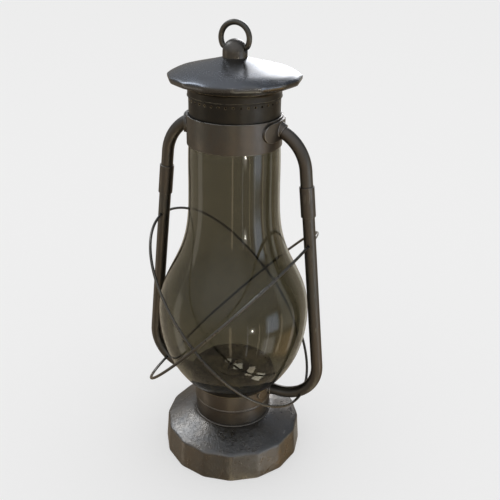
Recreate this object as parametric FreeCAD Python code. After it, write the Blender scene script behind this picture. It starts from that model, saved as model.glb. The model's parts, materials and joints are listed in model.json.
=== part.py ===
"""Oil lamp: a tubular hurricane lantern with a pear-shaped globe and two tilted wire guards.

Millimetres, +Z up. The origin is the centre of the tank's underside, where the lamp stands.
The X axis runs through both side tubes. The wick knob and the filler cap are at the back, +Y.
Each function makes one kind of piece; build() writes one file for each named piece.
"""
import FreeCAD
import Part
import math
import os

Vec = FreeCAD.Vector
UP = Vec(0, 0, 1)
ALONG_X = Vec(1, 0, 0)
ALONG_Y = Vec(0, 1, 0)

# ---- driving dimensions ------------------------------------------------------------------
# sheet metal and fits
sheet = 0.9                      # wall of every sheet-metal piece
solder_gap = 0.05                # film of solder between joined pieces
sliding_gap = 0.3                # between pieces that slide past each other
running_gap = 0.05               # radial clearance of a turning pin
past = 1.0                       # how far a cutting shape reaches beyond the face it cuts

# oil tank
tank_sides = 16
tank_shelf = 27.4                # width of the tank's top outside the collar, to the corners
tank_side_flare = 2.0            # growth of the corner radius down to the foot
tank_side_height = 27.3
tank_crown_rise = 11.8           # rise of the sloping top
tank_corner_round = 6.0          # bend radius of the upright corners
tank_edge_bevel = 0.9            # worn bevel between sides and top
pan_rim_height = 6.0
pan_foot_width = 14.0            # flat ring that the lamp stands on
pan_recess = 1.5

# burner collar
collar_radius = 35.4
collar_flare = 1.2               # growth of the collar's radius up to its top
collar_height = 35.8
collar_bead_height = 16.2        # of the swaged bead above the collar's foot
collar_bead_proud = 0.5
collar_bead_half = 1.1
foot_ring_width = 1.6
foot_ring_height = 1.2
foot_ring_bulge = (0.66, 0.7)     # roundest place, as shares of its width and height

# filler
filler_azimuth = 113.0           # degrees from +X
filler_gap = 2.4                 # between cap and collar
spout_radius = 8.0
spout_wall = 1.6
spout_length = 14.0
spout_above_crown = 1.9          # top of the spout above the tank's crown
gasket_thickness = 1.0
cap_radius = 10.0
cap_top = 2.4
cap_skirt = 3.4
cap_flutes = 20
cap_flute_radius = 0.9
thread_gap = 0.3

# burner
mouth_margin = 5.1               # from the wick tube's edge to the mouth's rim
burner_flange_overlap = 3.4
burner_flange = 1.9
burner_plug_depth = 6.0
wick_width = 15.0
wick_thickness = 2.0
wick_play = 0.4                  # between the wick and its tube
wick_tube_wall = 0.6
wick_tube_drop = 9.0             # of the tube's lower end below the crown
wick_tube_below_plate = 0.9
wick_tail_clear = 7.0            # between the wick's tail and the pan
wick_above_plate = 1.6           # wick's trimmed end above the globe plate
shaft_radius = 1.5
shaft_height = 20.3              # above the tank's crown
feed_wheel_radius = 3.2
feed_wheel_width = 1.6
feed_wheel_place = 4.0           # of each wheel from the middle
feed_wheel_teeth = 12
feed_tooth_depth = 0.6
ear_gap = 1.1                    # between the wick tube and each shaft ear
ear_thickness = 1.4
ear_half_width = 4.0
bush_radius = 3.4
bush_outside = 2.6
bush_inside = 1.5
knob_stand_off = 1.0
knob_radius = 8.0
knob_width = 8.0
knob_flutes = 16
knob_flute_radius = 0.9

# globe plate and flame cone
plate_flange_inset = 0.4         # flange edge inside the globe's foot
plate_platform_rise = 7.0
platform_gap = 0.8
plate_skirt = 5.0
plate_vents = 30
plate_vent_radius = 1.1
plate_vent_inset = 4.0
cone_margin = 5.5                # from the wick's edge to the opening's rim
cone_brim = 3.0
cone_rise = 5.0
cone_seat = 1.0                  # dome's foot inside the opening
cone_bulge = (0.6, 0.75)         # a point of its arc, as shares of its radius and rise
cone_slot_end = 2.0              # slot's clearance at each edge of the wick
cone_slot_side = 1.5             # and along each face

# globe
glass = 1.6
globe_foot_overhang = 4.4        # of the globe's foot beyond the collar
belly_radius = 67.8
belly_height = 66.0              # above the globe's foot, as are the other heights
lower_inset = 7.6                # radius lost from the belly down to the lower curve
lower_height = 29.7
upper_inset = 2.0                # radius lost from the belly up to the upper curve
upper_height = 89.0
waist_radius = 48.5
waist_height = 128.8
throat_radius = 41.9
throat_height = 150.0
neck_radius = 38.9
neck_share = 0.565               # where that radius lies, from the throat to the neck's end
neck_end_radius = 38.6
neck_end_drop = 20.1             # of the neck's end below the globe's top
globe_top_radius = 37.6
globe_height = 232.1

# crown band and chimney
band_below_globe_top = 3.9
band_height = 24.4
band_clearance = 0.7             # between globe neck and band
band_wall = 1.0
band_lip = 1.0
chimney_inset = 0.3              # chimney's outside within the globe's top edge
chimney_rest_gap = 0.2
stop_ring_height = 2.5
chimney_top_above_band = 23.4
chimney_vents = 40
chimney_vent_radius = 0.8
vent_row_above_band = 12.4

# cove ring, hood and knob
cove_foot_above_band = 14.5
cove_bead = 0.7                  # bead's reach outside the chimney
cove_roll = 0.4                  # roundness of the bead's edge
cove_roll_height = 1.2
cove_hollow = 0.3                # depth of the flare's curve, as a share of its reach
cove_neck_height = 4.2           # where the bead's skirt turns into the flare
cove_step_reach = 3.0            # step's reach outside the chimney
cove_step_low = 7.6
cove_step_high = 10.0
cove_flange_reach = 8.7
hood_above_band = 26.4           # hood's lower edge above the band's top
hood_seam = 1.2                  # overlap of the hood's lip on the cove ring's flange
hood_overhang = 6.8              # of the hood's lower edge beyond the flange
hood_brim_bulge = 1.3
hood_brim_height = 2.9
hood_shoulder_inset = 1.1        # from the brim's widest place
hood_shoulder_height = 5.1
hood_dome = ((7.0, 3.5), (17.0, 6.1), (29.0, 8.9))  # insets from the shoulder and rises above it
hood_top_margin = 0.5            # flat left round the knob's foot
hood_top_height = 17.6
hood_corner_round = 20.0
hood_knob_radius = 9.9
hood_knob_side = 4.3             # straight part below the dome
rivet_radius = 2.4
rivet_head_radius = 5.0
rivet_head = 1.2
rivet_reach = 2.6

# hang ring
ring_over_knob = 2.1             # ring's mean radius beyond the knob's
ring_wire_radius = 2.2
ring_lift = 10.2                 # ring centre above the dome's centre
ring_leg_angle = 25.0            # where each leg leaves the circle, below level
ring_leg_bend = 3.0
pintle_length = 4.2

# side tubes
tube_radius = 5.2
tube_wall = 0.8
tube_globe_gap = 5.9
shoulder_reach = 21.6            # from the band to the corner where the tube turns inwards
tube_top_margin = 1.1            # of collar wall left above the tube
tube_elbow_radius = 34.3
tube_shoulder_radius = 37.5
tube_entry_slope = 28.0          # degrees above level where it meets the band
tube_entry_above_band_foot = 15.2
sleeve_wall = 1.0
sleeve_length = 26.1
sleeve_edge_round = 0.35
sleeve_below_shoulder = 12.7

# saddles
upper_saddle_half_angle = 31.0
upper_saddle_height = 15.6
upper_saddle_thickness = 2.0
lower_saddle_half_angle = 26.5
lower_saddle_height = 9.4
lower_saddle_thickness = 1.4
upper_ferrule_root = 2.2         # ferrule's reach outside the tube at the saddle
upper_ferrule_tip = 1.3
lower_ferrule_gap = 0.2          # between the lower ferrule and the globe plate
lower_ferrule_tip = 0.5
ferrule_length = 3.5

# wire guards
guard_wire_radius = 1.22
inner_guard_gap = 12.6           # between the globe's belly and the inner wire
outer_guard_gap = 27.0
inner_guard_drop = 20.4          # of the wire's upper end below the sleeve
outer_guard_drop = 25.1
guard_above_belly = 8.7
guard_hole_gap = 0.25            # round each wire where it passes through a tube

# ---- worked-out places -------------------------------------------------------------------
crown_z = tank_side_height + tank_crown_rise
collar_top_z = crown_z + collar_height
collar_top_radius = collar_radius + collar_flare
tank_shoulder_radius = collar_top_radius + tank_shelf
tank_foot_radius = tank_shoulder_radius + tank_side_flare
filler_centre_radius = collar_top_radius + filler_gap + cap_radius
globe_foot_radius = collar_top_radius + globe_foot_overhang
globe_foot_z = collar_top_z + sheet
platform_z = globe_foot_z + plate_platform_rise
platform_radius = globe_foot_radius - glass - platform_gap
globe_top_z = globe_foot_z + globe_height
belly_z = globe_foot_z + belly_height
neck_end_height = globe_height - neck_end_drop
neck_height = throat_height + neck_share * (neck_end_height - throat_height)

wick_tube_half = wick_width / 2 + wick_play + wick_tube_wall
mouth_radius = wick_tube_half + mouth_margin
burner_flange_radius = mouth_radius + burner_flange_overlap
ear_place = wick_tube_half + ear_gap
cone_opening_radius = wick_width / 2 + cone_margin
shaft_z = crown_z + shaft_height
shaft_x = wick_thickness / 2 + sliding_gap + feed_wheel_radius
wick_top_z = platform_z + wick_above_plate

band_inner = globe_top_radius + band_clearance
band_radius = band_inner + band_wall
band_foot_z = globe_top_z - band_below_globe_top
band_top_z = band_foot_z + band_height
chimney_radius = globe_top_radius - chimney_inset
chimney_foot_z = globe_top_z + chimney_rest_gap
stop_ring_radius = band_inner - sliding_gap

cove_step_radius = chimney_radius + cove_step_reach
cove_flange_radius = chimney_radius + cove_flange_reach
hood_edge_radius = cove_flange_radius + hood_overhang
hood_brim_radius = hood_edge_radius + hood_brim_bulge
hood_shoulder_radius = hood_brim_radius - hood_shoulder_inset
hood_top_radius = hood_knob_radius + hood_top_margin
hood_z = band_top_z + hood_above_band
hood_top_z = hood_z + hood_top_height
dome_z = hood_top_z + hood_knob_side
ring_radius = hood_knob_radius + ring_over_knob
ring_z = dome_z + ring_lift
leg = math.radians(ring_leg_angle)
leg_end_x = (ring_radius - ring_leg_bend) * math.cos(leg)
ring_pivot_z = ring_z - (ring_radius - ring_leg_bend) * math.sin(leg) - ring_leg_bend

tube_low_z = collar_top_z - tube_top_margin - tube_radius
lower_ferrule_root = tube_top_margin - lower_ferrule_gap
entry = math.radians(tube_entry_slope)
entry_z = band_foot_z + tube_entry_above_band_foot
tube_belly_x = belly_radius + tube_globe_gap + tube_radius
shoulder = Vec(band_radius + shoulder_reach, 0, entry_z - shoulder_reach * math.tan(entry))
lean = math.atan2(tube_belly_x - shoulder.x, shoulder.z - belly_z)
elbow_x = tube_belly_x + (belly_z - tube_low_z) * math.tan(lean)
lean_dir = Vec(-math.sin(lean), 0, math.cos(lean))
shoulder_turn = math.pi / 2 - lean - entry
shoulder_start = shoulder - lean_dir * (tube_shoulder_radius * math.tan(shoulder_turn / 2))
sleeve_top = shoulder_start - lean_dir * sleeve_below_shoulder
sleeve_mid = sleeve_top - lean_dir * (sleeve_length / 2)
guard_centre_z = belly_z + guard_above_belly
entry_out = Vec(math.cos(entry), 0, -math.sin(entry))
entry_point = Vec(band_radius, 0, entry_z)
tube_past_wall = tube_radius * math.tan(entry) + 4 * band_wall


# ---- helpers -----------------------------------------------------------------------------
def outline(start, *steps):
    """Closed face in the XZ plane: each step is an (r, z) point, or a pair of points for an arc."""
    edges = []
    here = Vec(start[0], 0, start[1])
    first = here
    for step in steps + (start,):
        if isinstance(step[0], tuple):
            middle = Vec(step[0][0], 0, step[0][1])
            there = Vec(step[1][0], 0, step[1][1])
            edges.append(Part.Arc(here, middle, there).toShape())
        else:
            there = Vec(step[0], 0, step[1])
            if there.distanceToPoint(here) < 1e-6:
                continue
            edges.append(Part.LineSegment(here, there).toShape())
        here = there
    assert here.distanceToPoint(first) < 1e-6
    return Part.Face(Part.Wire(edges))


def turned(face):
    """Solid of revolution about the lamp's axis."""
    return face.revolve(Vec(0, 0, 0), UP, 360)


def disc(radius, low, high, x=0.0, y=0.0):
    """Upright cylinder between two heights."""
    return Part.makeCylinder(radius, high - low, Vec(x, y, low), UP)


def rod(radius, start, direction, length):
    return Part.makeCylinder(radius, length, start, direction)


def many_sided(corner_radius, z, corner_round, sides=tank_sides):
    """Closed wire of a regular polygon with rounded corners, one corner on +X."""
    half = math.pi / sides
    tangent = corner_round * math.tan(half)
    inset = corner_round * (1 / math.cos(half) - 1)
    flat = corner_radius * math.cos(half)
    half_side = corner_radius * math.sin(half) - tangent
    edges = []
    for i in range(sides):
        turn = 2 * half * i
        middle = turn + half
        across = Vec(math.cos(middle), math.sin(middle), 0) * flat
        side = Vec(-math.sin(middle), math.cos(middle), 0) * half_side
        end = across + side + UP * z
        next_turn = turn + 2 * half
        corner = Vec(math.cos(next_turn), math.sin(next_turn), 0) * (corner_radius - inset) + UP * z
        next_middle = next_turn + half
        next_across = Vec(math.cos(next_middle), math.sin(next_middle), 0) * flat
        next_side = Vec(-math.sin(next_middle), math.cos(next_middle), 0) * half_side
        start_next = next_across - next_side + UP * z
        edges.append(Part.LineSegment(across - side + UP * z, end).toShape())
        edges.append(Part.Arc(end, corner, start_next).toShape())
    return Part.Wire(edges)


def faceted(levels, corner_round):
    """Solid through rounded polygons, each level a (corner radius, height) pair."""
    wires = [many_sided(radius, z, corner_round) for radius, z in levels]
    return Part.makeLoft(wires, True, True)


def bent_path(points, bend_radius):
    """Wire in the XZ plane of straight runs joined by tangent arcs of one radius."""
    edges = []
    here = points[0]
    for before, corner, after in zip(points, points[1:], points[2:]):
        come = (corner - before).normalize()
        go = (after - corner).normalize()
        turn = come.getAngle(go)
        cut = bend_radius * math.tan(turn / 2)
        inwards = (go - come).normalize()
        start = corner - come * cut
        end = corner + go * cut
        middle = corner + inwards * (bend_radius * (1 / math.cos(turn / 2) - 1))
        edges.append(Part.LineSegment(here, start).toShape())
        edges.append(Part.Arc(start, middle, end).toShape())
        here = end
    edges.append(Part.LineSegment(here, points[-1]).toShape())
    return Part.Wire(edges)


def swept(path, radius, start, direction):
    """Round bar of one radius along a path."""
    ring = Part.Wire(Part.makeCircle(radius, start, direction))
    return path.makePipeShell([ring], True, False)


def fluted(body, centre, axis, reach, count, flute_radius, length):
    """Cut a ring of half-round flutes, parallel to the axis, into a turned body."""
    side = axis.cross(ALONG_X)
    if side.Length < 0.5:
        side = axis.cross(UP)
    side.normalize()
    other = axis.cross(side)
    for i in range(count):
        angle = 2 * math.pi * i / count
        place = centre + side * (reach * math.cos(angle)) + other * (reach * math.sin(angle))
        body = body.cut(rod(flute_radius, place - axis, axis, length + 2 * past))
    return body


def round_holes(count, radius, row_radius, low, high):
    """Ring of upright drills."""
    drills = []
    for i in range(count):
        angle = 2 * math.pi * i / count
        drills.append(disc(radius, low, high, row_radius * math.cos(angle), row_radius * math.sin(angle)))
    return Part.makeCompound(drills)


def left_of(shape):
    """The same piece on the -X side."""
    return shape.mirror(Vec(0, 0, 0), ALONG_X)


# ---- tank and filler ---------------------------------------------------------------------
def filler_centre():
    angle = math.radians(filler_azimuth)
    return filler_centre_radius * math.cos(angle), filler_centre_radius * math.sin(angle)


def tank_levels(inset, drop):
    """Levels of the tank's outer form, moved inwards by inset and its top lowered by drop."""
    bevel = tank_edge_bevel
    return [
        (tank_foot_radius - inset, 0.0),
        (tank_shoulder_radius - inset, tank_side_height - bevel - drop),
        (tank_shoulder_radius - bevel - inset, tank_side_height - drop),
        (collar_radius + foot_ring_width + solder_gap, crown_z - drop),
    ]


def fuel_tank():
    """Sixteen-sided sheet shell, open below, with a mouth for the burner and a hole for the spout."""
    inset = sheet / math.cos(math.pi / tank_sides)
    body = faceted(tank_levels(0.0, 0.0), tank_corner_round)
    hollow = faceted(tank_levels(inset, sheet), tank_corner_round - sheet)
    inside = tank_foot_radius - inset
    below = faceted([(inside, -past), (inside, 0.0)], tank_corner_round - sheet)
    x, y = filler_centre()
    body = body.cut(hollow).cut(below)
    body = body.cut(disc(mouth_radius, 0, crown_z + past))
    return body.cut(disc(spout_radius + solder_gap, tank_side_height / 2, crown_z + past, x, y))


def tank_bottom_pan():
    """Dished pan that closes the tank: upturned rim, flat standing ring, recessed middle."""
    inset = sheet / math.cos(math.pi / tank_sides) + solder_gap
    taper = (tank_foot_radius - tank_shoulder_radius) / (tank_side_height - tank_edge_bevel)
    foot = tank_foot_radius - inset
    top = foot - taper * pan_rim_height
    rim = faceted([(foot, 0.0), (top, pan_rim_height)], tank_corner_round - sheet)
    inner_foot = foot - sheet
    inner_top = top - sheet
    brim = pan_rim_height + solder_gap
    bowl = faceted([(inner_foot, sheet), (inner_top, brim)], tank_corner_round - 2 * sheet)
    recess_radius = tank_foot_radius - pan_foot_width
    middle = disc(recess_radius + sheet, sheet, pan_recess + sheet)
    return rim.cut(bowl).fuse(middle).cut(disc(recess_radius, -1, pan_recess)).removeSplitter()


def filler_spout():
    x, y = filler_centre()
    top = crown_z + spout_above_crown
    pipe = disc(spout_radius, top - spout_length, top, x, y)
    return pipe.cut(disc(spout_radius - spout_wall, top - spout_length - past, top + past, x, y))


def filler_gasket():
    x, y = filler_centre()
    low = crown_z + spout_above_crown
    ring = disc(spout_radius, low, low + gasket_thickness, x, y)
    return ring.cut(disc(spout_radius - spout_wall, low - past, low + 2 * gasket_thickness, x, y))


def filler_cap():
    """Screw cap: top, skirt round the spout, and flutes for the fingers."""
    x, y = filler_centre()
    seat = crown_z + spout_above_crown + gasket_thickness
    low = seat - cap_skirt
    cap = disc(cap_radius, low, seat + cap_top, x, y)
    cap = cap.makeChamfer(0.8, [cap.Edges[0]])
    cap = cap.cut(disc(spout_radius + thread_gap, low - past, seat, x, y))
    return fluted(cap, Vec(x, y, low), UP, cap_radius + cap_flute_radius / 2, cap_flutes,
                  cap_flute_radius, seat + cap_top - low)


# ---- collar and burner -------------------------------------------------------------------
def burner_collar():
    """Drum between tank and globe, with a swaged bead, tube holes and the shaft bush's hole."""
    low = crown_z
    bead = crown_z + collar_bead_height
    grow = collar_flare / collar_height
    at_bead = collar_radius + grow * collar_bead_height
    face = outline(
        (collar_radius - sheet, low),
        (collar_radius, low),
        (at_bead, bead - collar_bead_half),
        ((at_bead + collar_bead_proud, bead), (at_bead, bead + collar_bead_half)),
        (collar_top_radius, collar_top_z),
        (collar_top_radius - sheet, collar_top_z),
    )
    drum = turned(face)
    reach = 2 * collar_top_radius
    drum = drum.cut(rod(tube_radius + solder_gap, Vec(-reach, 0, tube_low_z), ALONG_X, 2 * reach))
    return drum.cut(rod(bush_radius + solder_gap, Vec(shaft_x, 0, shaft_z), ALONG_Y, reach))


def collar_foot_ring():
    """Soldered half-round ring at the collar's foot."""
    inner = collar_radius + solder_gap + collar_flare * foot_ring_height / collar_height
    outer = inner + foot_ring_width - 2 * solder_gap
    across, up = foot_ring_bulge
    bulge = (inner + foot_ring_width * across, crown_z + foot_ring_height * up)
    face = outline(
        (inner, crown_z),
        (outer, crown_z),
        (bulge, (inner, crown_z + foot_ring_height)),
    )
    return turned(face)


def wick_tube_hole(extra, low, high):
    """Upright rectangular bar round the wick tube, larger all round by extra."""
    thick = wick_thickness + 2 * (wick_play + wick_tube_wall + extra)
    wide = wick_width + 2 * (wick_play + wick_tube_wall + extra)
    return Part.makeBox(thick, wide, high - low, Vec(-thick / 2, -wide / 2, low))


def burner_body():
    """Plug in the tank's mouth, its flange, and the two ears that carry the wick shaft."""
    plug = disc(mouth_radius - thread_gap, crown_z - burner_plug_depth, crown_z)
    flange = disc(burner_flange_radius, crown_z, crown_z + burner_flange)
    body = plug.fuse(flange)
    ear_top = shaft_z + ear_half_width
    for side in (-1, 1):
        low_y = ear_place if side > 0 else -ear_place - ear_thickness
        ear = Part.makeBox(2 * ear_half_width, ear_thickness, ear_top - crown_z,
                           Vec(shaft_x - ear_half_width, low_y, crown_z))
        body = body.fuse(ear)
    body = body.cut(wick_tube_hole(solder_gap, crown_z - burner_plug_depth - past, ear_top + past))
    start = Vec(shaft_x, -2 * ear_place, shaft_z)
    return body.cut(rod(shaft_radius + running_gap, start, ALONG_Y, 4 * ear_place)).removeSplitter()


def wick_tube():
    """Flat tube that guides the wick, with a window for the feed wheels."""
    low = crown_z - wick_tube_drop
    high = platform_z - wick_tube_below_plate
    tube = wick_tube_hole(0.0, low, high).cut(wick_tube_hole(-wick_tube_wall, low - past, high + past))
    half = feed_wheel_radius + past
    reach = feed_wheel_place + feed_wheel_width
    corner = Vec(wick_thickness / 2, -reach, shaft_z - half)
    window = Part.makeBox(2 * feed_wheel_radius, 2 * reach, 2 * half, corner)
    return tube.cut(window)


def wick():
    low = pan_recess + sheet + wick_tail_clear
    half_t = wick_thickness / 2
    half_w = wick_width / 2
    return Part.makeBox(wick_thickness, wick_width, wick_top_z - low, Vec(-half_t, -half_w, low))


def wick_shaft():
    start = -ear_place - ear_thickness - past
    end = collar_top_radius + bush_outside + knob_stand_off + knob_width - past
    return rod(shaft_radius, Vec(shaft_x, start, shaft_z), ALONG_Y, end - start)


def feed_wheels():
    """Two toothed wheels on the shaft that drive the wick."""
    wheels = []
    for side in (-1, 1):
        middle = side * feed_wheel_place
        start = Vec(shaft_x, middle - feed_wheel_width / 2, shaft_z)
        wheel = rod(feed_wheel_radius, start, ALONG_Y, feed_wheel_width)
        wheel = wheel.cut(rod(shaft_radius, start - ALONG_Y * past, ALONG_Y, feed_wheel_width + 2 * past))
        wheels.append(fluted(wheel, start, ALONG_Y, feed_wheel_radius, feed_wheel_teeth,
                             feed_tooth_depth, feed_wheel_width))
    return Part.makeCompound(wheels)


def shaft_bush():
    """Flanged bush in the collar's back wall."""
    inside = collar_radius - sheet - bush_inside
    outside = collar_top_radius + bush_outside
    bush = rod(bush_radius, Vec(shaft_x, inside, shaft_z), ALONG_Y, outside - inside)
    return bush.cut(rod(shaft_radius + running_gap, Vec(shaft_x, 0, shaft_z), ALONG_Y, 2 * outside))


def wick_knob():
    """Fluted knob on the shaft's outer end."""
    start = collar_top_radius + bush_outside + knob_stand_off
    knob = rod(knob_radius, Vec(shaft_x, start, shaft_z), ALONG_Y, knob_width)
    knob = knob.makeChamfer(0.7, [e for e in knob.Edges if e.Curve.TypeId == "Part::GeomCircle"])
    knob = knob.cut(rod(shaft_radius, Vec(shaft_x, 0, shaft_z), ALONG_Y, 2 * start + knob_width))
    return fluted(knob, Vec(shaft_x, start, shaft_z), ALONG_Y, knob_radius + knob_flute_radius / 2,
                  knob_flutes, knob_flute_radius, knob_width)


# ---- globe plate, flame cone, globe --------------------------------------------------------
def globe_plate():
    """Pressed plate: skirt in the collar, flange under the globe, raised perforated platform."""
    skirt = collar_radius - sheet - solder_gap
    flange = globe_foot_radius - plate_flange_inset
    face = outline(
        (skirt - sheet, collar_top_z - plate_skirt),
        (skirt, collar_top_z - plate_skirt),
        (skirt, collar_top_z),
        (flange, collar_top_z),
        (flange, globe_foot_z),
        (platform_radius, globe_foot_z),
        (platform_radius, platform_z),
        (cone_opening_radius, platform_z),
        (cone_opening_radius, platform_z - sheet),
        (platform_radius - sheet, platform_z - sheet),
        (platform_radius - sheet, collar_top_z + sheet),
        (skirt - sheet, collar_top_z + sheet),
    )
    row = platform_radius - plate_vent_inset
    vents = round_holes(plate_vents, plate_vent_radius, row, platform_z - 2 * sheet, platform_z + sheet)
    return turned(face).cut(vents)


def flame_cone():
    """Low dome with a slot for the flame."""
    foot = platform_z
    brim_radius = cone_opening_radius + cone_brim
    root = cone_opening_radius - cone_seat
    peak = foot + cone_rise
    across, up = cone_bulge
    rise = up * cone_rise
    face = outline(
        (brim_radius, foot),
        (brim_radius, foot + sheet),
        (root, foot + sheet),
        ((across * root, foot + rise), (0.0, peak)),
        (0.0, peak - sheet),
        ((across * (root - sheet), foot + rise - sheet), (root - sheet, foot)),
    )
    half_x = wick_thickness / 2 + cone_slot_side
    half_y = wick_width / 2 + cone_slot_end
    slot = Part.makeBox(2 * half_x, 2 * half_y, 3 * cone_rise, Vec(-half_x, -half_y, foot - cone_rise))
    return turned(face).cut(slot)


def globe_curve(inset):
    """Spline edge of the pear-shaped glass, moved inwards by inset."""
    stations = [
        (globe_foot_radius, 0.0),
        (belly_radius - lower_inset, lower_height),
        (belly_radius, belly_height),
        (belly_radius - upper_inset, upper_height),
        (waist_radius, waist_height),
        (throat_radius, throat_height),
        (neck_radius, neck_height),
        (neck_end_radius, neck_end_height),
        (globe_top_radius, globe_height),
    ]
    spline = Part.BSplineCurve()
    spline.interpolate([Vec(radius - inset, 0, globe_foot_z + height) for radius, height in stations])
    return spline.toShape()


def globe():
    """Blown glass globe, open at both ends."""
    outer = globe_curve(0.0)
    inner = globe_curve(glass)
    foot = glass_edge(globe_foot_radius, globe_foot_z)
    top = glass_edge(globe_top_radius, globe_top_z)
    return turned(Part.Face(Part.Wire([foot, outer, top, inner])))


def glass_edge(radius, z):
    return Part.LineSegment(Vec(radius - glass, 0, z), Vec(radius, 0, z)).toShape()


# ---- band, chimney, hood -------------------------------------------------------------------
def crown_band():
    """Band round the globe's neck, with an inward lip that stops the chimney."""
    lip = chimney_radius + sliding_gap
    face = outline(
        (band_inner, band_foot_z),
        (band_radius, band_foot_z),
        (band_radius, band_top_z),
        (lip, band_top_z),
        (lip, band_top_z - band_lip),
        (band_inner, band_top_z - band_lip),
    )
    start = entry_point - entry_out * tube_past_wall
    drill = rod(tube_radius + solder_gap, start, entry_out, 2 * tube_past_wall)
    return turned(face).cut(drill).cut(left_of(drill))


def chimney():
    """Sheet tube that slides in the band, with a row of vents under the cove ring."""
    top = band_top_z + chimney_top_above_band
    pipe = disc(chimney_radius, chimney_foot_z, top)
    pipe = pipe.cut(disc(chimney_radius - sheet, chimney_foot_z - past, top + past))
    vent_z = band_top_z + vent_row_above_band
    drills = []
    for i in range(chimney_vents):
        angle = 2 * math.pi * (i + 0.5) / chimney_vents
        out = Vec(math.cos(angle), math.sin(angle), 0)
        start = out * (chimney_radius - 2 * sheet) + UP * vent_z
        drills.append(rod(chimney_vent_radius, start, out, 4 * sheet))
    return pipe.cut(Part.makeCompound(drills))


def chimney_stop_ring():
    """Ring on the chimney's foot that meets the band's lip when the hood is pulled up."""
    low = chimney_foot_z
    inner = chimney_radius + solder_gap
    ring = disc(stop_ring_radius, low, low + stop_ring_height)
    return ring.cut(disc(inner, low - past, low + stop_ring_height + past))


def cove_ring():
    """Spun ring under the hood: bead, hollow flare, step and the flange that holds the hood."""
    foot = band_top_z + cove_foot_above_band
    inner = chimney_radius + solder_gap
    bead = chimney_radius + cove_bead
    hood_under = hood_z - solder_gap
    neck = (bead, foot + cove_neck_height)
    step = (cove_step_radius, foot + cove_step_low)
    flare = cove_step_low - cove_neck_height
    hollow_z = foot + cove_step_low - cove_hollow * flare
    hollow = (bead + cove_hollow * (cove_step_radius - bead), hollow_z)
    face = outline(
        (inner, foot),
        ((bead + cove_roll, foot + cove_roll_height / 2), (bead, foot + cove_roll_height)),
        neck,
        (hollow, step),
        (cove_step_radius, foot + cove_step_high),
        (cove_flange_radius, hood_under - sheet),
        (cove_flange_radius, hood_under),
        (inner, hood_under),
    )
    return turned(face)


def hood():
    """Sixteen-sided pressed hood: sloping top, turned-down brim and a lip under it."""
    inset = sheet / math.cos(math.pi / tank_sides)
    round_in = hood_corner_round - sheet
    body = many_sided_hood(0.0, 0.0, hood_corner_round)
    hollow = many_sided_hood(inset, sheet, round_in)
    lip_hole = disc(cove_flange_radius - hood_seam, hood_z - past, hood_z + 2 * sheet)
    body = body.cut(hollow).cut(lip_hole)
    return body.cut(disc(rivet_radius + solder_gap, hood_z, hood_top_z + past))


def many_sided_hood(inset, drop, corner_round):
    """Outer form of the hood, or with an inset and a drop, the hollow inside it."""
    top_round = corner_round * hood_top_radius / hood_edge_radius
    shoulder_z = hood_z + hood_shoulder_height - drop
    wires = [
        many_sided(hood_edge_radius - inset, hood_z + drop, corner_round),
        many_sided(hood_brim_radius - inset, hood_z + hood_brim_height, corner_round),
        many_sided(hood_shoulder_radius - inset, shoulder_z, corner_round),
    ]
    for step_in, rise in hood_dome:
        radius = hood_shoulder_radius - step_in
        share = radius / hood_edge_radius
        wires.append(many_sided(radius, shoulder_z + rise, corner_round * share))
    wires.append(many_sided(hood_top_radius, hood_top_z - drop, top_round))
    return Part.makeLoft(wires, True, True)


def hood_knob():
    """Thimble-shaped knob with two holes for the ring's pintles and a blind hole for its rivet."""
    side = disc(hood_knob_radius, hood_top_z, dome_z)
    dome = Part.makeSphere(hood_knob_radius, Vec(0, 0, dome_z))
    upper = disc(2 * hood_knob_radius, dome_z, dome_z + 2 * hood_knob_radius)
    knob = side.fuse(dome.common(upper)).removeSplitter()
    knob = knob.cut(disc(rivet_radius, hood_top_z - past, hood_top_z + rivet_reach))
    bore = ring_wire_radius + running_gap
    pintle_x = leg_end_x - pintle_length
    for side_x in (-1, 1):
        out = ALONG_X * side_x
        bottom = Vec(side_x * (pintle_x - sliding_gap), 0, ring_pivot_z)
        knob = knob.cut(rod(bore, bottom, out, hood_knob_radius))
        mouth = Part.makeCone(bore, bore + hood_knob_radius, hood_knob_radius,
                              Vec(side_x * (leg_end_x - sliding_gap), 0, ring_pivot_z), out)
        knob = knob.cut(mouth)
    return knob


def knob_rivet():
    """Rivet that holds the knob on the hood."""
    under = hood_top_z - sheet
    head = disc(rivet_head_radius, under - rivet_head, under)
    return head.fuse(disc(rivet_radius, under, hood_top_z + rivet_reach)).removeSplitter()


def hang_ring():
    """Round ring whose two ends turn inwards as pintles in the knob."""
    centre = Vec(0, 0, ring_z)
    right = Vec(math.cos(leg), 0, -math.sin(leg)) * ring_radius + centre
    left = Vec(-right.x, 0, right.z)
    bend_centre = Vec(leg_end_x, 0, ring_pivot_z + ring_leg_bend)
    half_way = math.radians(-(90 + ring_leg_angle) / 2)
    bend_mid = bend_centre + Vec(math.cos(half_way), 0, math.sin(half_way)) * ring_leg_bend
    bend_end = Vec(leg_end_x, 0, ring_pivot_z)
    tip = bend_end - ALONG_X * pintle_length
    path = Part.Wire([
        Part.LineSegment(tip, bend_end).toShape(),
        Part.Arc(bend_end, bend_mid, right).toShape(),
        Part.Arc(right, centre + UP * ring_radius, left).toShape(),
        Part.Arc(left, Vec(-bend_mid.x, 0, bend_mid.z), Vec(-leg_end_x, 0, ring_pivot_z)).toShape(),
        Part.LineSegment(Vec(-leg_end_x, 0, ring_pivot_z), Vec(-tip.x, 0, ring_pivot_z)).toShape(),
    ])
    return swept(path, ring_wire_radius, tip, ALONG_X)


# ---- side tubes, sleeves, saddles -----------------------------------------------------------
def hollow_bend(points, bend_radius, direction):
    path = bent_path(points, bend_radius)
    outside = swept(path, tube_radius, points[0], direction)
    return outside.cut(swept(path, tube_radius - tube_wall, points[0], direction))


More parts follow.
